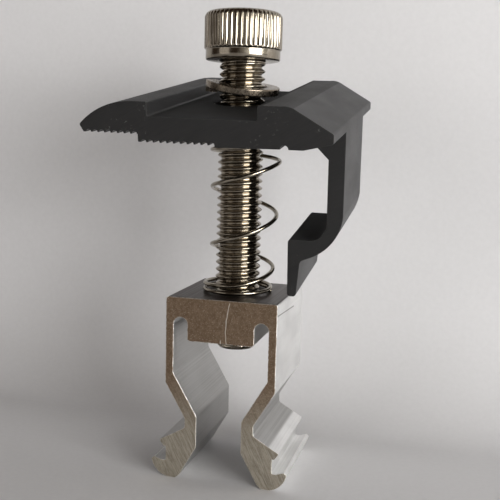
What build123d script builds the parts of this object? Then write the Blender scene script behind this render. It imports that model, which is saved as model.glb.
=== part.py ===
from build123d import *
from math import cos, radians, sin
import os

os.makedirs("parts", exist_ok=True)

# Solar panel end clamp: a click-in rail base, an M8 x 50 cap screw with its spring lock
# washer, a serrated clamp with a support leg, and the compression spring between them.
# Millimetres. +Z runs up the screw, X across the extrusions' section (serrated jaw at -X,
# leg at +X), Y along the extrusions. The origin lies on the screw's axis, in the plane of
# the base's feet.

# ---------------------------------------------------------------- driving dimensions

# Screw, M8 socket head
thread_diameter = 8.0
screw_length = 50.0
head_diameter = 12.8
head_height = 8.0
head_clearance = 40.0        # base top to the underside of the head, as assembled
head_edge_radius = 0.7
knurl_diameter = 13.3
knurl_start = 1.7            # plain band under the knurl
knurl_end = 7.5
knurl_bevel = 0.15           # from the plain band out to the knurl
knurl_count = 48
knurl_groove = 0.58          # side of the square cutter that leaves each V groove
knurl_groove_offset = 0.1    # the cutter's centre lies this far outside the knurl
socket_width = 6.0           # across flats
socket_depth = 4.0
socket_chamfer = 0.5
screw_tip_chamfer = 0.9

# Base, one extrusion
base_height = 32.0
base_width = 19.4
base_depth = 19.5
base_wall = 1.35
base_corner_radius = 0.4
block_thickness = 7.45
block_corner = 0.35          # chamfer of the block's lower corners
slot_width = 2.5
slot_root = 3.4              # base top to the rounded root of each slot
shoulder_outer = 15.0        # base top to the outer bend of each leg
shoulder_inner = 13.2
throat_width = 8.0           # between the two feet
throat_top = 11.4
throat_bottom = 5.9
foot_thickness = 2.1
foot_wall_top = 10.9
foot_wall_bottom = 9.2
tooth_shoulder_reach = 8.5   # axis to the bend of the slope above the tooth
tooth_shoulder_height = 7.8
tooth_reach = 10.75          # axis to the tip of the upper tooth
tooth_height = 6.55
notch_reach = 9.5            # axis to the wall of the rail notch
notch_top = 5.5
notch_bottom = 2.95
notch_chamfer = 0.4          # under the tooth
notch_ledge = 0.8            # level ledge above the hook
hook_reach = 12.1            # axis to the tip of the hook
hook_height = 3.0
hook_lip = 0.5               # width of the slope behind the hook's tip
hook_lip_rise = 0.4
hook_belly_inset = 1.1       # hook's tip to the middle of the curve under it
hook_belly_height = 0.95
sole_inner = 7.7             # the flat on which a foot stands
sole_outer = 9.1
sole_bevel = 0.7
sole_bevel_height = 0.6
shoulder_radius = 0.8
ankle_radius = 1.2           # leg's outer bend above the foot wall
instep_radius = 0.6
throat_radius = 1.0
throat_mouth_radius = 0.6
tooth_radius = 0.3
notch_radius = 0.25
sole_radius = 0.6

# Clamp, one extrusion with its leg cut narrower than the wings
clamp_depth = 41.0
plate_clearance = 32.9       # base top to the channel floor, on the screw's axis
plate_tilt = 9.35            # how far the loose clamp leans, front edge down
tilt_heading = 7.4           # direction of the axis it leans about, from +X
plate_thickness = 3.95
hole_diameter = 9.5
channel_left = 9.25
channel_right = 8.2
wing_height = 2.25           # channel floor to the top of the wings
wing_flat_left = 12.1        # axis to the end of each wing's flat top
wing_flat_right = 11.6
tip_left = 20.6
tip_left_height = -1.6
tip_right = 19.65
tip_right_height = -1.5
tip_right_bottom = -2.95
tip_left_bevel = 0.7         # how far the left end leans in down to the jaw
crown_left_inset = 3.6       # left tip to the middle of the left wing's crown
crown_left_height = 1.05
crown_right_reach = 2.0      # end of the right flat to the end of its rounding
crown_right_drop = 0.25
crown_right_rise = 0.02
jaw_step = 10.8              # axis to the step between the two serrated bands
jaw_outer_underside = 2.75   # channel floor to the tooth tips of the outer band
tooth_pitch = 1.1
tooth_groove_radius = 0.42
outer_groove_offset = 0.55   # step to the first groove of the outer band
inner_groove_offset = 0.95   # step to the first groove of the inner band
outer_tooth_count = 8
inner_tooth_count = 11
plain_band_inset = 0.6       # end of the inner band to the plain underside
plain_band_drop = 0.3
relief_x = 12.3              # axis to the relief groove beside the leg
relief_radius = 0.65
right_underside_drop = 0.1   # the plate is that much thicker from the groove on
tip_right_taper = 4.5        # right tip to where its underside starts to rise
channel_radius = 0.3
tip_radius = 0.4
tip_right_foot_radius = 0.3
jaw_step_radius = 0.2

leg_depth = 19.0
leg_offset = 0.7
leg_thickness = 2.7
leg_gusset = 4.1
leg_overlap = 0.6            # how far the gusset is buried in the right wing
leg_tip_overlap = 0.4
shelf_height = 21.2          # channel floor down to the top of the shelf
shelf_thickness = 2.9        # shelf's top down to the heel's flat
shelf_fillet = 3.0
toe_clearance = 0.8          # leg's toe to the base's side wall, with the clamp level
toe_root_thickness = 2.1
toe_end_thickness = 1.5
toe_length = 10.05           # shelf's top down to the end of the toe
toe_inner_radius = 0.5
toe_outer_radius = 0.6
heel_reach = 14.4
heel_drop = 0.8              # heel's flat down to the root of the toe
heel_radius = 1.0
bend_height = 7.3            # heel's flat up to where the leg's back starts to curve in
bend_middle_inset = 1.65
bend_middle_rise = 2.9

# Spring lock washer
washer_outer_diameter = 12.8
washer_inner_diameter = 8.5
washer_thickness = 1.25
washer_spread = 1.15         # helical rise from one cut end to the other
washer_height = 34.85        # base top to the middle of the lower cut end
washer_front_drop = 10.4     # lean of the loose washer, down towards -Y
washer_right_drop = 6.8      # and down towards +X
washer_split_angle = 20.0
washer_split_heading = 188.0 # direction of the lower cut end, from +X
washer_edge_radius = 0.2

# Compression spring
wire_diameter = 0.8
spring_diameter = 12.4       # outside of the coils
closed_turns = 1.75
closed_pitch = 0.86
active_turns = 2.25
end_turns = 1.75
end_pitch = 2.3
spring_top_gap = 0.945       # last coil to the underside on the axis, for the lean

# Fits
thread_clearance = 0.05      # radial, screw in the tapped hole of the base

shank_radius = thread_diameter / 2 - thread_clearance
base_half_width = base_width / 2
toe_inner = base_half_width + toe_clearance


# ---------------------------------------------------------------- base

slot_outer = base_half_width - base_wall
slot_inner = slot_outer - slot_width
throat = throat_width / 2
foot_outer = throat + foot_thickness
block_bottom = base_height - block_thickness

with BuildPart() as base:
    with BuildSketch(Plane.XZ) as base_section:
        with BuildLine():
            outside = Polyline(
                (0, base_height),
                (base_half_width, base_height),
                (base_half_width, base_height - shoulder_outer),
                (foot_outer, foot_wall_top),
                (foot_outer, foot_wall_bottom),
                (tooth_shoulder_reach, tooth_shoulder_height),
                (tooth_reach, tooth_height),
                (notch_reach + notch_chamfer, notch_top),
                (notch_reach, notch_top),
                (notch_reach, notch_bottom),
                (notch_reach + notch_ledge, notch_bottom),
                (hook_reach - hook_lip, hook_height + hook_lip_rise),
                (hook_reach, hook_height),
            )
            ThreePointArc(
                (hook_reach, hook_height),
                (hook_reach - hook_belly_inset, hook_belly_height),
                (sole_outer, 0),
            )
            Line((sole_outer, 0), (sole_inner, 0))
            inside = Polyline(
                (sole_inner, 0),
                (sole_inner - sole_bevel, sole_bevel_height),
                (throat, throat_bottom),
                (throat, throat_top),
                (slot_outer, base_height - shoulder_inner),
                (slot_outer, base_height - slot_root - slot_width / 2),
            )
            ThreePointArc(
                inside @ 1,
                (slot_outer - slot_width / 2, base_height - slot_root),
                (slot_inner, base_height - slot_root - slot_width / 2),
            )
            Polyline(
                (slot_inner, base_height - slot_root - slot_width / 2),
                (slot_inner, block_bottom + block_corner),
                (slot_inner - block_corner, block_bottom),
                (0, block_bottom),
                (0, base_height),
            )
        make_face()
        # rounded corners of the die: (x, z, radius)
        for x, z, radius in (
            (base_half_width, base_height, base_corner_radius),
            (base_half_width, base_height - shoulder_outer, shoulder_radius),
            (slot_outer, base_height - shoulder_inner, shoulder_radius),
            (foot_outer, foot_wall_top, ankle_radius),
            (foot_outer, foot_wall_bottom, instep_radius),
            (throat, throat_top, throat_radius),
            (throat, throat_bottom, throat_mouth_radius),
            (tooth_reach, tooth_height, tooth_radius),
            (notch_reach, notch_bottom, notch_radius),
            (sole_inner - sole_bevel, sole_bevel_height, sole_radius),
        ):
            fillet(base_section.vertices().sort_by_distance((x, z))[0], radius=radius)
        mirror(about=Plane.YZ)
    extrude(amount=base_depth / 2, both=True)
    # the tapped hole, at the thread's major diameter
    with Locations(Plane.XY.offset(base_height)):
        Hole(radius=shank_radius + thread_clearance, depth=block_thickness)

base.part.label = "base"
export_step(base.part, "parts/base.step")


# ---------------------------------------------------------------- cap screw

head_bottom = base_height + head_clearance
screw_tip = head_bottom - screw_length

with BuildPart() as cap_screw:
    with BuildSketch(Plane.XZ) as screw_profile:
        with BuildLine():
            Polyline(
                (0, screw_tip),
                (shank_radius - screw_tip_chamfer, screw_tip),
                (shank_radius, screw_tip + screw_tip_chamfer),
                (shank_radius, head_bottom),
                (head_diameter / 2, head_bottom),
                (head_diameter / 2, head_bottom + knurl_start),
                (knurl_diameter / 2, head_bottom + knurl_start + knurl_bevel),
                (knurl_diameter / 2, head_bottom + head_height),
                (0, head_bottom + head_height),
                (0, screw_tip),
            )
        make_face()
        top_corner = screw_profile.vertices().sort_by_distance(
            (knurl_diameter / 2, head_bottom + head_height)
        )[0]
        fillet(top_corner, radius=head_edge_radius)
    revolve(axis=Axis.Z)
    # straight knurl: V grooves round the head, ending below its rounded edge
    with BuildSketch(Plane.XY.offset(head_bottom + knurl_start + knurl_bevel)):
        with PolarLocations(knurl_diameter / 2 + knurl_groove_offset, knurl_count):
            Rectangle(knurl_groove, knurl_groove, rotation=45)
    extrude(amount=knurl_end - knurl_start, mode=Mode.SUBTRACT)
    # hexagon socket with a countersunk mouth
    with BuildSketch(Plane.XY.offset(head_bottom + head_height)):
        RegularPolygon(radius=socket_width / 2, side_count=6, major_radius=False)
    extrude(amount=-socket_depth, mode=Mode.SUBTRACT)
    with Locations(Plane.XY.offset(head_bottom + head_height - socket_chamfer / 2)):
        Cone(
            bottom_radius=socket_width / 2,
            top_radius=socket_width / 2 + socket_chamfer,
            height=socket_chamfer,
            mode=Mode.SUBTRACT,
        )

cap_screw.part.label = "cap_screw"
export_step(cap_screw.part, "parts/cap_screw.step")


# ---------------------------------------------------------------- spring lock washer

washer_section_width = (washer_outer_diameter - washer_inner_diameter) / 2
washer_mean_radius = (washer_outer_diameter + washer_inner_diameter) / 4
washer_turn = (360 - washer_split_angle) / 360
washer_low = base_height + washer_height
split_start = radians(washer_split_heading)
washer_normal = Vector(0, 0, 1).rotate(Axis.X, washer_front_drop)
washer_normal = washer_normal.rotate(Axis.Y, washer_right_drop)
ring_start = Vector(cos(split_start), sin(split_start), 0).rotate(Axis.X, washer_front_drop)
ring_start = ring_start.rotate(Axis.Y, washer_right_drop)

# one turn wound left-handed, so that its cut ends bite as the screw turns back
with BuildPart() as washer_ring:
    with BuildLine():
        ring = Helix(
            pitch=washer_spread / washer_turn,
            height=washer_spread,
            radius=washer_mean_radius,
            lefthand=True,
        )
    with BuildSketch(Plane(origin=ring @ 0, x_dir=(1, 0, 0), z_dir=ring % 0)):
        RectangleRounded(washer_section_width, washer_thickness, washer_edge_radius)
    sweep(path=ring, is_frenet=True)

with BuildPart() as lock_washer:
    with Locations(Plane(origin=(0, 0, washer_low), x_dir=ring_start, z_dir=washer_normal)):
        add(washer_ring.part)

lock_washer.part.label = "lock_washer"
export_step(lock_washer.part, "parts/lock_washer.step")


# ---------------------------------------------------------------- clamp

plate_seat = Vector(0, 0, base_height + plate_clearance)
heading = radians(tilt_heading)
tilt_axis = Axis((0, 0, 0), (cos(heading), sin(heading), 0))
plate_x = Vector(1, 0, 0).rotate(tilt_axis, plate_tilt)
plate_y = Vector(0, 1, 0).rotate(tilt_axis, plate_tilt)
plate_z = Vector(0, 0, 1).rotate(tilt_axis, plate_tilt)
section_plane = Plane(origin=plate_seat, x_dir=plate_x, z_dir=-plate_y)
leg_plane = Plane(origin=plate_seat + plate_y * leg_offset, x_dir=plate_x, z_dir=-plate_y)
floor_plane = Plane(origin=plate_seat, x_dir=plate_x, z_dir=plate_z)

leg_inner = tip_right - leg_thickness
heel_height = shelf_height + shelf_thickness
toe_bottom = shelf_height + toe_length
bend_start = heel_height - bend_height
inner_band_end = -jaw_step + inner_tooth_count * tooth_pitch
right_underside = -plate_thickness - right_underside_drop

with BuildPart() as clamp:
    # the wings and the channel between them, over the whole depth
    with BuildSketch(section_plane) as wing_section:
        with BuildLine():
            Polyline(
                (-tip_left + tip_left_bevel, -jaw_outer_underside),
                (-jaw_step, -jaw_outer_underside),
                (-jaw_step, -plate_thickness),
                (inner_band_end, -plate_thickness),
                (inner_band_end + plain_band_inset, -plate_thickness - plain_band_drop),
                (relief_x - relief_radius, right_underside),
                (relief_x + relief_radius, right_underside),
                (tip_right - tip_right_taper, right_underside),
                (tip_right, tip_right_bottom),
                (tip_right, tip_right_height),
                (wing_flat_right + crown_right_reach, wing_height - crown_right_drop),
            )
            ThreePointArc(
                (wing_flat_right + crown_right_reach, wing_height - crown_right_drop),
                (wing_flat_right + crown_right_reach / 2, wing_height + crown_right_rise),
                (wing_flat_right, wing_height),
            )
            Polyline(
                (wing_flat_right, wing_height),
                (channel_right, wing_height),
                (channel_right, 0),
                (-channel_left, 0),
                (-channel_left, wing_height),
                (-wing_flat_left, wing_height),
            )
            ThreePointArc(
                (-wing_flat_left, wing_height),
                (-tip_left + crown_left_inset, crown_left_height),
                (-tip_left, tip_left_height),
            )
            Line(
                (-tip_left, tip_left_height),
                (-tip_left + tip_left_bevel, -jaw_outer_underside),
            )
        make_face()
        for x, z, radius in (
            (-channel_left, wing_height, channel_radius),
            (channel_right, wing_height, channel_radius),
            (-channel_left, 0, channel_radius),
            (channel_right, 0, channel_radius),
            (tip_right, tip_right_height, tip_radius),
            (tip_right, tip_right_bottom, tip_right_foot_radius),
            (-tip_left, tip_left_height, tip_radius),
            (-jaw_step, -plate_thickness, jaw_step_radius),
        ):
            fillet(wing_section.vertices().sort_by_distance((x, z))[0], radius=radius)
        # serrations: rounded grooves between the teeth of the two jaw bands
        for index in range(outer_tooth_count):
            groove_x = -jaw_step - outer_groove_offset - index * tooth_pitch
            with Locations((groove_x, -jaw_outer_underside)):
                Circle(tooth_groove_radius, mode=Mode.SUBTRACT)
        for index in range(inner_tooth_count):
            groove_x = -jaw_step + inner_groove_offset + index * tooth_pitch
            with Locations((groove_x, -plate_thickness)):
                Circle(tooth_groove_radius, mode=Mode.SUBTRACT)
        # relief groove beside the leg
        with Locations((relief_x, right_underside)):
            Circle(relief_radius, mode=Mode.SUBTRACT)
    extrude(amount=clamp_depth / 2, both=True)
    # the support leg, narrower than the wings and flush with the right tip
    with BuildSketch(leg_plane) as leg_section:
        with BuildLine():
            Polyline(
                (tip_right, tip_right_bottom + leg_tip_overlap),
                (leg_inner - leg_gusset, -plate_thickness + leg_overlap),
                (leg_inner, -plate_thickness + leg_overlap - leg_gusset),
                (leg_inner, -shelf_height),
                (toe_inner, -shelf_height),
                (toe_inner, -toe_bottom),
                (toe_inner + toe_end_thickness, -toe_bottom),
                (toe_inner + toe_root_thickness, -heel_height - heel_drop),
                (heel_reach, -heel_height),
            )
            ThreePointArc(
                (heel_reach, -heel_height),
                (tip_right - bend_middle_inset, -heel_height + bend_middle_rise),
                (tip_right, -bend_start),
            )
            Line((tip_right, -bend_start), (tip_right, tip_right_bottom + leg_tip_overlap))
        make_face()
        for x, z, radius in (
            (leg_inner, -shelf_height, shelf_fillet),
            (toe_inner, -shelf_height, toe_inner_radius),
            (toe_inner, -toe_bottom, toe_inner_radius),
            (toe_inner + toe_end_thickness, -toe_bottom, toe_outer_radius),
            (toe_inner + toe_root_thickness, -heel_height - heel_drop, heel_radius),
        ):
            fillet(leg_section.vertices().sort_by_distance((x, z))[0], radius=radius)
    extrude(amount=leg_depth / 2, both=True)
    # clearance hole for the screw
    with Locations(floor_plane):
        Hole(radius=hole_diameter / 2, depth=2 * plate_thickness)

clamp.part.label = "clamp"
export_step(clamp.part, "parts/clamp.step")


# ---------------------------------------------------------------- compression spring

coil_radius = (spring_diameter - wire_diameter) / 2
# the closed and end coils keep their pitch, and the open coils fill the room under the plate
spring_room = plate_clearance - plate_thickness - plain_band_drop
spring_rise = spring_room - spring_top_gap - wire_diameter
active_rise = spring_rise - closed_turns * closed_pitch - end_turns * end_pitch
active_pitch = active_rise / active_turns

spring_stages = []
stage_height = base_height + wire_diameter / 2
stage_heading = 0.0
for turns, pitch in (
    (closed_turns, closed_pitch),
    (active_turns, active_pitch),
    (end_turns, end_pitch),
):
    with BuildPart() as stage:
        with BuildLine():
            coil = Helix(pitch=pitch, height=turns * pitch, radius=coil_radius)
        with BuildSketch(Plane(origin=coil @ 0, z_dir=coil % 0)):
            Circle(wire_diameter / 2)
        sweep(path=coil, is_frenet=True)
        # a ball rounds each end and joins one stage to the next
        with Locations(coil @ 0, coil @ 1):
            Sphere(wire_diameter / 2)
    start = radians(stage_heading)
    stage_start = Vector(cos(start), sin(start), 0)
    stage_plane = Plane(origin=(0, 0, stage_height), x_dir=stage_start, z_dir=(0, 0, 1))
    spring_stages.append((stage.part, stage_plane))
    stage_height += turns * pitch
    stage_heading += turns * 360

with BuildPart() as spring:
    for stage_part, stage_plane in spring_stages:
        with Locations(stage_plane):
            add(stage_part)

spring.part.label = "spring"
export_step(spring.part, "parts/spring.step")
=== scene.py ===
import bpy
from math import cos, pi, radians, sin
from mathutils import Matrix, Vector


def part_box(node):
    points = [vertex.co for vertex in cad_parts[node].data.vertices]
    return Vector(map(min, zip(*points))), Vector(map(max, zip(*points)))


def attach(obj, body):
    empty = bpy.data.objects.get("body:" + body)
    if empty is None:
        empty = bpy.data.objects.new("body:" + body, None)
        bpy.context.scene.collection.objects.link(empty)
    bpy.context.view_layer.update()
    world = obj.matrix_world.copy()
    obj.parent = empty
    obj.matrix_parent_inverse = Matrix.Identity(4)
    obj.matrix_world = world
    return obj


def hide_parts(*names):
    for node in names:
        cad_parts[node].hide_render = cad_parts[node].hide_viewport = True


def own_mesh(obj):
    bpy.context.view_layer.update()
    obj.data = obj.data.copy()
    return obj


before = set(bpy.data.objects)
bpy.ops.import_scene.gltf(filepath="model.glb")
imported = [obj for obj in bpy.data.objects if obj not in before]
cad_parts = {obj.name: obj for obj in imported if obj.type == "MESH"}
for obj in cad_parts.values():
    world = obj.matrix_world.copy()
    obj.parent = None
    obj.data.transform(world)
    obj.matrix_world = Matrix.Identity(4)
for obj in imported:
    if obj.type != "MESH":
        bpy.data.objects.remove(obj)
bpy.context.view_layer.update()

MM = 0.001
base_lo, base_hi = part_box("base")
screw_lo, screw_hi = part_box("cap_screw")
BASE_TOP = base_hi.z
FRONT = base_lo.y                     # the base's sawn face, towards the camera


# ------------------------------------------------------------------ node helpers

FLAT_COSINE = 0.995                   # rounded to true normal, where an edge begins to show
EDGE_COSINE = 0.9
FACE_ON = (0.8, 0.9)                  # part of the normal along an axis, where a face counts


class Shader:
    """A node-based material on a Principled shader, built a node at a time."""

    def __init__(self, name, **sockets):
        self.material = bpy.data.materials.new(name)
        self.material.use_nodes = True
        self.tree = self.material.node_tree
        self.shader = self.tree.nodes["Principled BSDF"]
        self.place = self.add("ShaderNodeTexCoord")
        for socket, value in sockets.items():
            self.shader.inputs[socket.replace("_", " ")].default_value = value

    def add(self, kind, inputs=None, **settings):
        node = self.tree.nodes.new(kind)
        for key, value in settings.items():
            setattr(node, key, value)
        for key, value in (inputs or {}).items():
            self.put(node.inputs[key], value)
        return node

    def put(self, socket, value):
        if isinstance(value, bpy.types.NodeSocket):
            self.tree.links.new(value, socket)
        else:
            socket.default_value = value

    def math(self, operation, a, b=0.0, c=0.0, clamp=False):
        node = self.add("ShaderNodeMath", {0: a, 1: b, 2: c}, operation=operation)
        node.use_clamp = clamp
        return node.outputs[0]

    def ramp(self, value, low, high, out_low=0.0, out_high=1.0):
        node = self.add("ShaderNodeMapRange", {0: value, 1: low, 2: high, 3: out_low, 4: out_high})
        node.interpolation_type = "SMOOTHSTEP"
        return node.outputs[0]

    def mix(self, factor, a, b):
        node = self.add("ShaderNodeMix", data_type="RGBA")
        self.put(node.inputs[0], factor)
        self.put(node.inputs[6], a)
        self.put(node.inputs[7], b)
        return node.outputs[2]

    def split(self, vector):
        return self.add("ShaderNodeSeparateXYZ", {0: vector}).outputs

    def noise(self, scale, stretch=(1, 1, 1), turn=(0, 0, 0), detail=3.0, rough=0.5):
        """Noise over the object in millimetres; stretch is the size of a grain along each axis."""
        spot = self.place.outputs["Object"]
        turned = self.add("ShaderNodeMapping", {0: spot}, vector_type="TEXTURE")
        turned.inputs["Rotation"].default_value = turn
        turned.inputs["Scale"].default_value = tuple(MM * s for s in stretch)
        texture = self.add("ShaderNodeTexNoise", {"Vector": turned.outputs[0]})
        texture.inputs["Scale"].default_value = scale
        texture.inputs["Detail"].default_value = detail
        texture.inputs["Roughness"].default_value = rough
        return texture.outputs["Fac"]

    def color(self, value):
        self.put(self.shader.inputs["Base Color"], value)

    def rough(self, value):
        self.put(self.shader.inputs["Roughness"], value)

    def bump(self, height, distance, strength=1.0, normal=None):
        inputs = {"Height": height, "Strength": strength, "Distance": distance}
        node = self.add("ShaderNodeBump", inputs)
        if normal is not None:
            self.put(node.inputs["Normal"], normal)
        return node.outputs[0]

    def normal(self, value):
        self.put(self.shader.inputs["Normal"], value)

    def edge(self, radius):
        """A rounded-edge normal, and a mask that is 1 on sharp edges."""
        bevel = self.add("ShaderNodeBevel", {"Radius": radius}, samples=6)
        flat = self.add("ShaderNodeNewGeometry").outputs["Normal"]
        vectors = {0: bevel.outputs[0], 1: flat}
        dot = self.add("ShaderNodeVectorMath", vectors, operation="DOT_PRODUCT")
        return bevel.outputs[0], self.ramp(dot.outputs["Value"], FLAT_COSINE, EDGE_COSINE)


def rgb(r, g, b):
    return (r, g, b, 1.0)


# ------------------------------------------------------------------ materials

INSIDE_DARK, INSIDE_LIGHT = rgb(0.36, 0.355, 0.345), rgb(0.47, 0.465, 0.455)
# painted light: the base's outer +X side is painted near white, as if lit from the right
LIT_OUTSIDE_DARK, LIT_OUTSIDE_LIGHT = rgb(0.86, 0.86, 0.85), rgb(0.97, 0.97, 0.96)
# painted shade on faces turned towards -X; PATCH is a random paler tone
SHADED_LEFT_FACING, PATCH = rgb(0.30, 0.28, 0.26), rgb(0.52, 0.52, 0.515)
# painted shade: the base's up-facing top is painted dark brown
SHADED_TOP_DARK, SHADED_TOP_LIGHT = rgb(0.052, 0.043, 0.039), rgb(0.088, 0.074, 0.068)
BLOCK_DARK, BLOCK_LIGHT = rgb(0.205, 0.140, 0.090), rgb(0.285, 0.205, 0.140)
FOOT_DARK, FOOT_LIGHT = rgb(0.33, 0.295, 0.235), rgb(0.56, 0.52, 0.44)
SAW_PATCH, GLINT = rgb(0.50, 0.45, 0.37), rgb(0.66, 0.57, 0.46)
SCRATCH_BRIGHT, SCRATCH_DARK = rgb(0.90, 0.86, 0.78), rgb(0.12, 0.10, 0.09)
BURR_BRIGHT = rgb(0.99, 0.96, 0.90)
LIT_OUTSIDE_FROM, LIT_OUTSIDE_TO = 8.6 * MM, 9.2 * MM    # painted light of the outer side, from the screw's axis, along +X
SHADED_TOP_FROM = 31 * MM
BLOCK_BOTTOM, FOOT_TOP = 20 * MM, 6 * MM         # between them the sawn face grows paler
SAW_SLANT = radians(-27)
BURR_WIDTH = 0.22 * MM
RELIEF = 0.035 * MM
SIDE_SCRATCH_START, SIDE_SCRATCH_END = -9.0 * MM, 3.0 * MM
SIDE_SCRATCH_HEIGHT, SIDE_SCRATCH_SLOPE = 30.0 * MM, -0.05
SIDE_SCRATCH_OUTER, SIDE_SCRATCH_INNER = 0.16 * MM, 0.05 * MM


def raw_aluminium():
    m = Shader("raw_aluminium", Metallic=1.0)
    facing = m.split(m.place.outputs["Normal"])
    where = m.split(m.place.outputs["Object"])
    sawn = m.ramp(m.math("ABSOLUTE", facing["Y"]), *FACE_ON)
    # extruded skin: die lines along Y and soft patches, painted light on the outer +X side,
    # painted shade on the left-facing faces and on the top
    die = m.noise(1.0, stretch=(0.22, 60, 0.22), detail=4.0, rough=0.6)
    patch = m.noise(1.0, stretch=(5, 9, 5), detail=2.0)
    lit_outside = m.ramp(where["X"], LIT_OUTSIDE_FROM, LIT_OUTSIDE_TO)
    inner_skin = m.mix(m.ramp(die, 0.35, 0.65), INSIDE_DARK, INSIDE_LIGHT)
    lit_outer_skin = m.mix(m.ramp(die, 0.3, 0.7), LIT_OUTSIDE_DARK, LIT_OUTSIDE_LIGHT)
    skin = m.mix(lit_outside, inner_skin, lit_outer_skin)
    # painted shade: faces turned towards -X are painted darker
    skin = m.mix(m.ramp(facing["X"], -0.3, -0.9, 0.0, 0.75), skin, SHADED_LEFT_FACING)
    skin = m.mix(m.ramp(patch, 0.35, 0.7, 0.0, 0.3), skin, PATCH)
    # painted shade: the up-facing top of the base is painted dark brown
    above = m.math("GREATER_THAN", where["Z"], SHADED_TOP_FROM)
    top = m.math("MULTIPLY", m.ramp(facing["Z"], 0.6, 0.95), above)
    skin = m.mix(top, skin, m.mix(die, SHADED_TOP_DARK, SHADED_TOP_LIGHT))
    # sawn ends: mottled brown on the block, slanting saw lines on the feet, fine glints
    slant = (0, SAW_SLANT, 0)
    saw = m.noise(1.0, stretch=(0.13, 4, 2.2), turn=slant, detail=5.0, rough=0.75)
    broad = m.noise(1.0, stretch=(0.9, 4, 9), turn=slant, detail=2.0)
    grain = m.noise(1.0, stretch=(0.12, 1, 0.12), detail=2.0)
    mottle = m.noise(1.0, stretch=(0.55, 0.55, 0.55), detail=5.0, rough=0.8)
    low = m.ramp(where["Z"], BLOCK_BOTTOM, FOOT_TOP)
    dark = m.mix(low, BLOCK_DARK, FOOT_DARK)
    light = m.mix(low, BLOCK_LIGHT, FOOT_LIGHT)
    saw_share = m.ramp(low, 0.0, 1.0, 0.25, 0.9)
    grained = m.add("ShaderNodeMix", {0: saw_share, 2: mottle, 3: saw}).outputs[0]
    cut = m.mix(m.ramp(grained, 0.40, 0.60), dark, light)
    pale = m.math("MULTIPLY", m.ramp(broad, 0.45, 0.7), m.math("MULTIPLY", low, 0.45))
    cut = m.mix(pale, cut, SAW_PATCH)
    cut = m.mix(m.ramp(grain, 0.60, 0.68, 0.0, 0.7), cut, GLINT)
    tone = m.mix(sawn, skin, cut)
    tone = m.mix(m.math("MULTIPLY", scratch(m), 0.85), tone, SCRATCH_BRIGHT)
    # a fine dark scratch along the outer side, just under the top
    run = m.math("ADD", where["Y"], -SIDE_SCRATCH_START)
    fall = m.math("MULTIPLY_ADD", run, SIDE_SCRATCH_SLOPE, SIDE_SCRATCH_HEIGHT)
    away = m.math("ABSOLUTE", m.math("SUBTRACT", where["Z"], fall))
    line = m.ramp(away, SIDE_SCRATCH_OUTER, SIDE_SCRATCH_INNER)
    line = m.math("MULTIPLY", line, m.math("LESS_THAN", where["Y"], SIDE_SCRATCH_END))
    line = m.math("MULTIPLY", line, m.math("GREATER_THAN", facing["X"], FACE_ON[0]))
    tone = m.mix(m.math("MULTIPLY", line, 0.7), tone, SCRATCH_DARK)
    # broken bright burrs along the edges
    rounded, edges = m.edge(BURR_WIDTH)
    burr = m.ramp(m.noise(1.0, stretch=(0.5, 0.5, 0.5), detail=3.0, rough=0.7), 0.36, 0.56)
    m.color(m.mix(m.math("MULTIPLY", edges, burr), tone, BURR_BRIGHT))
    skin_rough = m.ramp(die, 0.2, 0.8, 0.30, 0.46)
    cut_rough = m.ramp(saw, 0.2, 0.8, 0.42, 0.58)
    m.rough(m.add("ShaderNodeMix", {0: sawn, 2: skin_rough, 3: cut_rough}).outputs[0])
    relief = m.add("ShaderNodeMix", {0: sawn, 2: die, 3: saw})
    m.normal(m.bump(relief.outputs[0], RELIEF, 0.6, rounded))
    return m.material


# the long scratch down the base's face and two short marks, from (x, z) to (x, z) in millimetres
SCRATCHES = (((1.5, 31.6), (1.2, 30.2)), ((1.2, 30.2), (0.98, 28.5)), ((0.98, 28.5), (0.88, 26.6)),
             ((0.88, 26.6), (1.05, 24.8)), ((1.05, 24.8), (1.4, 23.2)),
             ((0.0, 25.2), (0.25, 23.4)), ((5.6, 24.0), (5.75, 23.3)))
SCRATCH_WIDTH = 0.085 * MM
SCRATCH_CORE = 0.4                    # share of the width that is fully bright
SCRATCH_WOBBLE = 0.3 * MM
FACE_DEPTH = 0.1 * MM


def scratch(m):
    """1 along the scratches of the base's front face."""
    where = m.split(m.place.outputs["Object"])
    drift = m.math("SUBTRACT", m.noise(1.0, stretch=(0.8, 0.8, 0.8)), 0.5)
    x = m.math("ADD", where["X"], m.math("MULTIPLY", drift, SCRATCH_WOBBLE))
    front = m.math("LESS_THAN", where["Y"], FRONT + FACE_DEPTH)
    total = 0.0
    for (x0, z0), (x1, z1) in SCRATCHES:
        rise = m.math("SUBTRACT", where["Z"], z0 * MM)
        share = m.math("DIVIDE", rise, (z1 - z0) * MM)
        begun = m.math("GREATER_THAN", share, 0.0)
        inside = m.math("MULTIPLY", begun, m.math("LESS_THAN", share, 1.0))
        centre = m.math("MULTIPLY_ADD", share, (x1 - x0) * MM, x0 * MM)
        away = m.math("ABSOLUTE", m.math("SUBTRACT", x, centre))
        line = m.ramp(away, SCRATCH_WIDTH, SCRATCH_CORE * SCRATCH_WIDTH)
        total = m.math("MAXIMUM", total, m.math("MULTIPLY", line, inside))
    return m.math("MULTIPLY", total, front)


COAT_DARK, COAT_LIGHT = rgb(0.011, 0.011, 0.0115), rgb(0.022, 0.022, 0.0225)
COAT_CLOUD, COAT_EDGE = rgb(0.030, 0.029, 0.029), rgb(0.12, 0.115, 0.11)
COAT_CUT_DARK, COAT_CUT_LIGHT = rgb(0.005, 0.005, 0.0055), rgb(0.015, 0.0145, 0.014)
COAT_SCUFF, COAT_SHADE = rgb(0.22, 0.215, 0.21), rgb(0.003, 0.003, 0.0032)
COAT_EDGE_WIDTH = 0.15 * MM
COAT_RELIEF = 0.03 * MM
CHANNEL_HALF, CHANNEL_BLEND = 8.7 * MM, 9.3 * MM
SHELF_ZONE, SHELF_BLEND = 52 * MM, 56 * MM


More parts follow.
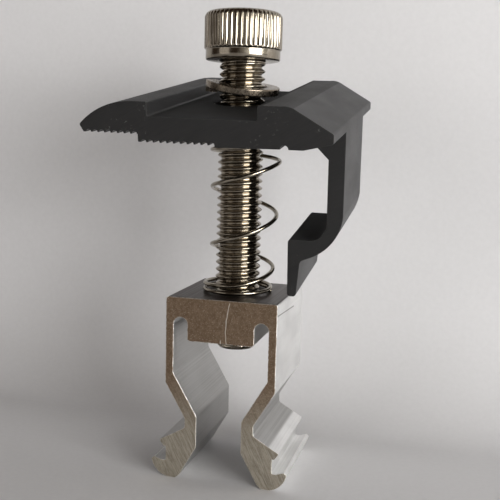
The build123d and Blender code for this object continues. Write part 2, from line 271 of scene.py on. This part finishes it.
def black_anodised():
    m = Shader("black_anodised", Metallic=0.0, IOR=1.42)
    facing = m.split(m.place.outputs["Normal"])
    where = m.split(m.place.outputs["Object"])
    sawn = m.ramp(m.math("ABSOLUTE", facing["Y"]), *FACE_ON)
    die = m.noise(1.0, stretch=(0.25, 60, 0.25), detail=4.0, rough=0.6)
    cloud = m.noise(1.0, stretch=(6, 12, 6), detail=3.0)
    grain = m.noise(1.0, stretch=(0.16, 0.16, 0.16), detail=3.0)
    saw = m.noise(1.0, stretch=(0.2, 3, 2.6), turn=(0, radians(63), 0), detail=4.0)
    skin = m.mix(die, COAT_DARK, COAT_LIGHT)
    skin = m.mix(m.ramp(cloud, 0.4, 0.75, 0.0, 0.5), skin, COAT_CLOUD)
    cut = m.mix(saw, COAT_CUT_DARK, COAT_CUT_LIGHT)
    tone = m.mix(sawn, skin, cut)
    rounded, edges = m.edge(COAT_EDGE_WIDTH)
    tone = m.mix(m.math("MULTIPLY", edges, 0.22), tone, COAT_EDGE)
    # pale scuffs where the coating is rubbed
    fleck = m.noise(1.0, stretch=(0.7, 0.7, 0.45), detail=4.0, rough=0.7)
    area = m.noise(1.0, stretch=(4.5, 4.5, 3), detail=1.0)
    scuff = m.math("MULTIPLY", m.ramp(fleck, 0.60, 0.70), m.ramp(area, 0.52, 0.64))
    tone = m.mix(m.math("MULTIPLY", scuff, 0.30), tone, COAT_SCUFF)
    # painted shade: the channel's floor and the shelf are painted darker, and shine less
    channel = m.ramp(m.math("ABSOLUTE", where["X"]), CHANNEL_BLEND, CHANNEL_HALF)
    shelf = m.ramp(where["Z"], SHELF_BLEND, SHELF_ZONE)
    upward = m.ramp(facing["Z"], 0.5, 0.8)
    shade = m.math("MULTIPLY", m.math("MAXIMUM", channel, shelf), upward)
    m.color(m.mix(m.math("MULTIPLY", shade, 0.85), tone, COAT_SHADE))
    skin_rough = m.ramp(cloud, 0.3, 0.8, 0.40, 0.52)
    plain_rough = m.add("ShaderNodeMix", {0: sawn, 2: skin_rough, 3: 0.62}).outputs[0]
    dusty = m.math("MULTIPLY", m.ramp(facing["Z"], 0.8, 0.95), 0.18)
    dusty = m.math("MAXIMUM", dusty, m.math("MULTIPLY", shade, 0.5))
    m.rough(m.math("ADD", plain_rough, dusty))
    relief = m.math("ADD", m.math("MULTIPLY", die, 0.6), m.math("MULTIPLY", grain, 0.5))
    m.normal(m.bump(relief, COAT_RELIEF, 0.55, rounded))
    return m.material


STEEL_STAIN = rgb(0.17, 0.13, 0.085)
STEEL_RELIEF = 0.01 * MM


def steel(name, dark, bright, low_rough, high_rough, stretch):
    m = Shader(name, Metallic=1.0)
    lines = m.noise(1.0, stretch=stretch, detail=4.0, rough=0.6)
    cloud = m.noise(1.0, stretch=(2.2, 2.2, 2.2), detail=3.0)
    stain = m.noise(1.0, stretch=(0.8, 0.8, 0.5), detail=3.0, rough=0.7)
    tone = m.mix(lines, dark, bright)
    tone = m.mix(m.ramp(cloud, 0.45, 0.75, 0.0, 0.45), tone, dark)
    m.color(m.mix(m.ramp(stain, 0.62, 0.74, 0.0, 0.35), tone, STEEL_STAIN))
    m.rough(m.ramp(lines, 0.25, 0.75, low_rough, high_rough))
    m.normal(m.bump(lines, STEEL_RELIEF, 0.5))
    return m.material


aluminium = raw_aluminium()
anodised = black_anodised()
screw_steel = steel("screw_steel", rgb(0.20, 0.165, 0.122), rgb(0.46, 0.42, 0.35),
                    0.10, 0.20, (0.3, 0.3, 1.2))
washer_steel = steel("washer_steel", rgb(0.16, 0.12, 0.085), rgb(0.36, 0.32, 0.26),
                     0.20, 0.34, (0.5, 0.5, 0.5))
spring_steel = steel("spring_steel", rgb(0.20, 0.165, 0.125), rgb(0.45, 0.42, 0.35),
                     0.12, 0.22, (0.6, 0.6, 0.3))


def finish_node(name, material):
    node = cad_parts[name]
    for slot in node.material_slots:
        slot.material = material
    if not node.material_slots:
        node.data.materials.append(material)


finish_node("base", aluminium)
finish_node("clamp", anodised)
finish_node("lock_washer", washer_steel)


# ------------------------------------------------------------------ mesh helpers

def make_mesh(name, points, faces, material, body):
    mesh = bpy.data.meshes.new(name)
    mesh.from_pydata([tuple(p) for p in points], [], faces)
    mesh.validate()
    mesh.update()
    for polygon in mesh.polygons:
        polygon.use_smooth = True
    mesh.materials.append(material)
    piece = bpy.data.objects.new(name, mesh)
    bpy.context.scene.collection.objects.link(piece)
    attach(piece, body)
    return piece


def grid_faces(rows, columns, start=0):
    """Quads over rows of points, each row closed on itself."""
    faces = []
    for r in range(rows - 1):
        for c in range(columns):
            d = (c + 1) % columns
            a = start + r * columns
            b = a + columns
            faces.append((a + c, a + d, b + d, b + c))
    return faces


# ------------------------------------------------------------------ cap screw

PITCH = 1.25
CREST_RADIUS = 3.95
ROOT_RADIUS = 3.33
HEAD_HEIGHT = 8.0
HEAD_BOTTOM = screw_hi.z / MM - HEAD_HEIGHT
SCREW_TIP = screw_lo.z / MM
CREST_HEADING = -74.0                 # where one crest's height is known
CREST_HEIGHT = 56.23
TURN_STEPS = 72
RUN_OUT = 1.0                         # the thread fades out this far under the head
RUN_OUT_LENGTH = 0.8
RUN_OUT_SHARE = 0.8
NECK = 0.25                           # small fillet where the shank meets the head
NECK_LIMIT = 0.3
INTO_HEAD = 0.2
TIP_CHAMFER = 0.85
TIP_SLOPE = 0.95
AXIS_HOLE = 0.02                      # radius of the innermost ring of a flat face
FLAT_QUAD = 1e-7
# one pitch of thread: (share of the pitch above the crest's middle, share of the depth)
THREAD = ((0.0, 1.0), (0.07, 0.98), (0.16, 0.78), (0.27, 0.44), (0.37, 0.12), (0.45, 0.01),
          (0.55, 0.01), (0.63, 0.12), (0.73, 0.44), (0.84, 0.78), (0.93, 0.98))


def shank():
    points, faces = [], []
    low_turn = int((SCREW_TIP - CREST_HEIGHT) / PITCH) - 2
    high_turn = int((HEAD_BOTTOM - CREST_HEIGHT) / PITCH) + 2
    rows = [(turn, share, depth) for turn in range(low_turn, high_turn) for share, depth in THREAD]
    per_turn = len(THREAD)
    for turn, share, depth in rows:
        for step in range(TURN_STEPS):
            heading = radians(CREST_HEADING) + 2 * pi * step / TURN_STEPS
            z = CREST_HEIGHT + PITCH * (turn + share + step / TURN_STEPS)
            radius = ROOT_RADIUS + (CREST_RADIUS - ROOT_RADIUS) * depth
            # the thread runs out into the head's fillet, and the tip is chamfered
            run_out = min(1.0, max(0.0, (z - (HEAD_BOTTOM - RUN_OUT)) / RUN_OUT_LENGTH))
            radius += (CREST_RADIUS - radius) * run_out * RUN_OUT_SHARE
            if z > HEAD_BOTTOM - NECK:
                radius = min(radius + z - (HEAD_BOTTOM - NECK), CREST_RADIUS + NECK_LIMIT)
            z = min(max(z, SCREW_TIP), HEAD_BOTTOM + INTO_HEAD)
            tip_radius = CREST_RADIUS - TIP_CHAMFER + (z - SCREW_TIP) * TIP_SLOPE
            radius = min(radius, tip_radius)
            points.append((radius * cos(heading) * MM, radius * sin(heading) * MM, z * MM))
    for r in range(len(rows) - 1):
        for c in range(TURN_STEPS):
            if c < TURN_STEPS - 1:
                a, b = r * TURN_STEPS + c, (r + 1) * TURN_STEPS + c
                quad = (a, a + 1, b + 1, b)
            elif r + per_turn + 1 < len(rows):
                a, b = r * TURN_STEPS + c, (r + 1) * TURN_STEPS + c
                quad = (a, (r + per_turn) * TURN_STEPS, (r + per_turn + 1) * TURN_STEPS, b)
            else:
                continue
            heights = [points[i][2] for i in quad]
            if max(heights) - min(heights) > FLAT_QUAD:
                faces.append(quad)
    # the screw's flat end
    rim = len(points)
    rings = 4
    for ring in range(rings + 1):
        share = ring / rings
        radius = (CREST_RADIUS - TIP_CHAMFER) * (1 - share) + AXIS_HOLE
        for step in range(TURN_STEPS):
            heading = 2 * pi * step / TURN_STEPS
            points.append((radius * cos(heading) * MM, radius * sin(heading) * MM, SCREW_TIP * MM))
    faces += [tuple(reversed(f)) for f in grid_faces(rings + 1, TURN_STEPS, rim)]
    return points, faces


KNURL_COUNT = 48
KNURL_STEPS = 10
HEAD_RADIUS = 6.4
KNURL_RADIUS = 6.65
KNURL_DEPTH = 0.24
KNURL_FLAT = 0.5                      # share of each ridge that is its flat top
SOCKET = 3.0                          # half of the width across flats


def head():
    """The knurled head and its hexagon socket, as rings of points from the underside up."""
    columns = KNURL_COUNT * KNURL_STEPS
    bottom, top = HEAD_BOTTOM, HEAD_BOTTOM + HEAD_HEIGHT
    # (radius, height, share of the knurl, share of the hexagon)
    rings = [
        (CREST_RADIUS - 0.2, bottom, 0, 0), (HEAD_RADIUS - 0.35, bottom, 0, 0),
        (HEAD_RADIUS - 0.12, bottom + 0.04, 0, 0), (HEAD_RADIUS, bottom + 0.18, 0, 0),
        (HEAD_RADIUS, bottom + 0.9, 0, 0), (HEAD_RADIUS, bottom + 1.45, 0, 0),
        (HEAD_RADIUS - 0.02, bottom + 1.62, 0, 0), (HEAD_RADIUS + 0.06, bottom + 1.74, 0, 0),
        (KNURL_RADIUS - 0.08, bottom + 1.84, 0.05, 0), (KNURL_RADIUS, bottom + 2.0, 0.45, 0),
        (KNURL_RADIUS, bottom + 2.25, 1, 0), (KNURL_RADIUS, bottom + 4.0, 1, 0),
        (KNURL_RADIUS, bottom + 5.5, 1, 0), (KNURL_RADIUS, top - 0.95, 1, 0),
        (KNURL_RADIUS - 0.05, top - 0.72, 0.8, 0), (KNURL_RADIUS - 0.16, top - 0.46, 0.4, 0),
        (KNURL_RADIUS - 0.34, top - 0.22, 0.1, 0), (KNURL_RADIUS - 0.58, top - 0.06, 0, 0),
        (KNURL_RADIUS - 0.9, top, 0, 0), (5.2, top, 0, 0), (4.3, top, 0, 0),
        (3.75, top, 0, 0), (3.62, top - 0.04, 0, 0), (3.42, top - 0.3, 0, 0.6),
        (SOCKET, top - 0.55, 0, 1), (SOCKET, top - 2.2, 0, 1), (SOCKET, top - 3.9, 0, 1),
        (2.9, top - 4.0, 0, 0.97), (2.0, top - 4.15, 0, 0.4), (0.9, top - 4.5, 0, 0),
        (AXIS_HOLE, top - 4.75, 0, 0),
    ]
    points = []
    for radius, height, knurl, hexagon in rings:
        for column in range(columns):
            heading = 2 * pi * column / columns
            within = (column % KNURL_STEPS) / KNURL_STEPS
            ridge = abs(2 * within - 1)           # 1 in the groove, 0 on the crest
            groove = max(0.0, (ridge - KNURL_FLAT) / (1 - KNURL_FLAT))
            r = radius - KNURL_DEPTH * knurl * groove
            side = (heading % (pi / 3)) - pi / 6
            r = r * (1 - hexagon) + hexagon * radius / cos(side)
            points.append((r * cos(heading) * MM, r * sin(heading) * MM, height * MM))
    return points, grid_faces(len(rings), columns)


def cap_screw():
    shank_points, shank_faces = shank()
    head_points, head_faces = head()
    shift = len(shank_points)
    faces = shank_faces + [tuple(i + shift for i in f) for f in head_faces]
    points = shank_points + head_points
    piece = make_mesh("cap_screw_threaded", points, faces, screw_steel, "screw")
    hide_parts("cap_screw")
    return piece


cap_screw()


# ------------------------------------------------------------------ spring

WIRE_RADIUS = 0.36
# turns from the wire's lower end (at the right), and the wire's height there above the base
COIL_HEIGHTS = ((0.0, 0.42), (0.75, 0.50), (1.25, 1.15), (1.75, 1.75), (2.0, 3.9), (2.5, 8.0),
                (2.75, 10.1), (3.0, 13.3), (3.5, 18.1), (3.75, 20.1), (4.0, 22.8), (4.4, 24.5),
                (4.75, 25.3), (5.25, 26.6), (5.75, 27.62))
COIL_RADIUS = 5.8
WIDEST_COIL = 5.9
WAIST, WAIST_FROM = 0.18, 2.0         # the open coils are narrower, from this height
FLARE, FLARE_FROM, FLARE_LENGTH = 0.33, 16.0, 8.0    # and grow wider again to the top
LEAN, LEAN_FROM = 0.86, 1.5           # the open coils stand to the right of the foot
FOOT_LEAN, LEAN_SLOPE = 0.06, 0.004
EASE = 6.0                            # height over which the waist and the lean come in
STEPS_PER_TURN, WIRE_SIDES = 64, 12


def coil_slopes(knots):
    """The slope at each knot, so that the curve through them never overshoots."""
    rises = [(z1 - z0) / (t1 - t0) for (t0, z0), (t1, z1) in zip(knots, knots[1:])]
    inner = [2 * below * above / (below + above) for below, above in zip(rises, rises[1:])]
    return [rises[0]] + inner + [rises[-1]]


COIL_SLOPES = coil_slopes(COIL_HEIGHTS)


def coil_height(turns):
    """The wire's height on a smooth curve through COIL_HEIGHTS."""
    i = 0
    while i < len(COIL_HEIGHTS) - 2 and turns > COIL_HEIGHTS[i + 1][0]:
        i += 1
    (start, low), (end, high) = COIL_HEIGHTS[i], COIL_HEIGHTS[i + 1]
    width = end - start
    t = (turns - start) / width
    low_slope, high_slope = COIL_SLOPES[i] * width, COIL_SLOPES[i + 1] * width
    return ((2 * t**3 - 3 * t**2 + 1) * low + (t**3 - 2 * t**2 + t) * low_slope
            + (3 * t**2 - 2 * t**3) * high + (t**3 - t**2) * high_slope)


def share_of(value, start, length):
    return min(1.0, max(0.0, (value - start) / length))


def spring():
    total = COIL_HEIGHTS[-1][0]
    count = int(total * STEPS_PER_TURN)
    path = []
    for i in range(count + 1):
        turns = total * i / count
        z = coil_height(turns)
        lean = FOOT_LEAN + LEAN * share_of(z, LEAN_FROM, EASE) + LEAN_SLOPE * z
        flare = FLARE * max(0.0, (z - FLARE_FROM) / FLARE_LENGTH)
        radius = min(COIL_RADIUS - WAIST * share_of(z, WAIST_FROM, EASE) + flare, WIDEST_COIL)
        heading = 2 * pi * turns
        place = (radius * cos(heading) + lean, radius * sin(heading), z + BASE_TOP / MM)
        path.append(Vector(place) * MM)
    points = []
    for i, p in enumerate(path):
        along = (path[min(i + 1, count)] - path[max(i - 1, 0)]).normalized()
        side = along.cross(Vector((0, 0, 1))).normalized()
        up = side.cross(along)
        for k in range(WIRE_SIDES):
            a = 2 * pi * k / WIRE_SIDES
            points.append(p + (side * cos(a) + up * sin(a)) * WIRE_RADIUS * MM)
    faces = [tuple(reversed(f)) for f in grid_faces(count + 1, WIRE_SIDES)]
    faces.append(tuple(range(WIRE_SIDES)))
    faces.append(tuple(reversed(range(count * WIRE_SIDES, (count + 1) * WIRE_SIDES))))
    piece = make_mesh("spring_wire", points, faces, spring_steel, "base")
    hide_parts("spring")
    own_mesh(piece)


spring()


# ------------------------------------------------------------------ stage, light and camera

PAPER_DARK, PAPER_LIGHT = rgb(0.60, 0.595, 0.60), rgb(0.65, 0.645, 0.65)
NEAR_EDGE, HALF_WIDTH, WALL_TOP = -0.9, 1.1, 0.9
BEND_START, BEND_RADIUS, BEND_STEPS = 0.018, 0.024, 16


def stage_material():
    m = Shader("paper", Roughness=0.9)
    fibre = m.noise(1.0, stretch=(0.9, 0.9, 0.9), detail=4.0)
    m.color(m.mix(fibre, PAPER_DARK, PAPER_LIGHT))
    m.normal(m.bump(fibre, 0.05 * MM, 0.3))
    # the paper is clear from behind, so that the part shows from every side
    clear = m.add("ShaderNodeBsdfTransparent")
    back = m.add("ShaderNodeNewGeometry").outputs["Backfacing"]
    paper = m.shader.outputs[0]
    either = m.add("ShaderNodeMixShader", {0: back, 1: paper, 2: clear.outputs[0]})
    m.put(m.tree.nodes["Material Output"].inputs["Surface"], either.outputs[0])
    return m.material


def stage():
    """A floor that curves up into a backdrop behind the part."""
    profile = [(NEAR_EDGE, 0.0), (BEND_START, 0.0)]
    for step in range(1, BEND_STEPS + 1):
        a = pi / 2 * step / BEND_STEPS
        profile.append((BEND_START + BEND_RADIUS * sin(a), BEND_RADIUS * (1 - cos(a))))
    profile.append((BEND_START + BEND_RADIUS, WALL_TOP))
    points = [(x, y, z) for y, z in profile for x in (-HALF_WIDTH, HALF_WIDTH)]
    strips = range(len(profile) - 1)
    faces = [(2 * i, 2 * i + 1, 2 * i + 3, 2 * i + 2) for i in strips]
    mesh = bpy.data.meshes.new("floor")
    mesh.from_pydata(points, [], faces)
    for polygon in mesh.polygons:
        polygon.use_smooth = True
    mesh.materials.append(stage_material())
    floor = bpy.data.objects.new("floor", mesh)
    bpy.context.scene.collection.objects.link(floor)


def lamp(name, place, target, size, power, color=(1, 1, 1), reflected=True):
    light = bpy.data.lights.new(name, "AREA")
    light.shape = "RECTANGLE"
    light.size, light.size_y = size
    light.energy = power
    light.color = color
    item = bpy.data.objects.new(name, light)
    item.location = place
    item.rotation_mode = "QUATERNION"
    item.rotation_quaternion = (Vector(target) - Vector(place)).to_track_quat("-Z", "Y")
    item.visible_camera = False
    item.visible_glossy = reflected
    bpy.context.scene.collection.objects.link(item)


stage()
middle = (0.0, 0.0, 0.045)
lamp("window", (0.395, -0.275, 0.02), middle, (0.33, 0.36), 4.9, (1.0, 0.995, 0.985))
lamp("fill", (-0.34, -0.36, 0.10), middle, (0.30, 0.30), 0.20, (1.0, 0.97, 0.95))
lamp("room", (-0.40, -0.50, 0.06), (0.0, 0.0, 0.0), (0.45, 0.45), 1.5, (1.0, 0.985, 0.98),
     reflected=False)

ROOM_DARK, WALL_BRIGHT = rgb(0.060, 0.045, 0.034), rgb(0.85, 0.83, 0.78)
SEEN_ROOM = rgb(0.80, 0.80, 0.80)     # what the camera sees of the room itself
WALL_FROM, WALL_TO = 0.0, 0.6         # part of a direction along +X
WALL_EDGE, WALL_LEVEL = 0.55, 0.15    # part of a direction along +Z


def studio():
    """A dark brown room with a bright wall to the right of the part."""
    world = bpy.data.worlds.new("studio")
    bpy.context.scene.world = world
    world.use_nodes = True
    nodes, links = world.node_tree.nodes, world.node_tree.links

    def ramp(value, low, high):
        node = nodes.new("ShaderNodeMapRange")
        node.inputs[1].default_value = low
        node.inputs[2].default_value = high
        links.new(value, node.inputs[0])
        return node.outputs[0]

    def mix(factor):
        node = nodes.new("ShaderNodeMix")
        node.data_type = "RGBA"
        links.new(factor, node.inputs[0])
        return node

    place = nodes.new("ShaderNodeTexCoord")
    parts = nodes.new("ShaderNodeSeparateXYZ")
    links.new(place.outputs["Generated"], parts.inputs[0])
    wall = nodes.new("ShaderNodeMath")
    wall.operation = "MULTIPLY"
    links.new(ramp(parts.outputs["X"], WALL_FROM, WALL_TO), wall.inputs[0])
    links.new(ramp(parts.outputs["Z"], WALL_EDGE, WALL_LEVEL), wall.inputs[1])
    room = mix(wall.outputs[0])
    room.inputs[6].default_value = ROOM_DARK
    room.inputs[7].default_value = WALL_BRIGHT
    seen = mix(nodes.new("ShaderNodeLightPath").outputs["Is Camera Ray"])
    links.new(room.outputs[2], seen.inputs[6])
    seen.inputs[7].default_value = SEEN_ROOM
    links.new(seen.outputs[2], nodes["Background"].inputs["Color"])


studio()

CAMERA_PLACE = Vector((39.10, -137.09, 58.89)) * MM
CAMERA_RIGHT = Vector((0.9643, 0.2637, 0.0258))
CAMERA_UP = Vector((-0.0605, 0.1244, 0.9905))
CAMERA_BACK = Vector((0.2579, -0.9566, 0.1359))

camera = bpy.data.objects.new("camera", bpy.data.cameras.new("camera"))
camera.data.lens = 58.57
camera.data.sensor_width = 36.0
camera.data.clip_start = 0.005
turn = Matrix((CAMERA_RIGHT, CAMERA_UP, CAMERA_BACK)).transposed().to_4x4()
camera.matrix_world = Matrix.Translation(CAMERA_PLACE) @ turn
bpy.context.scene.collection.objects.link(camera)
bpy.context.scene.camera = camera
bpy.context.scene.view_settings.view_transform = "Standard"
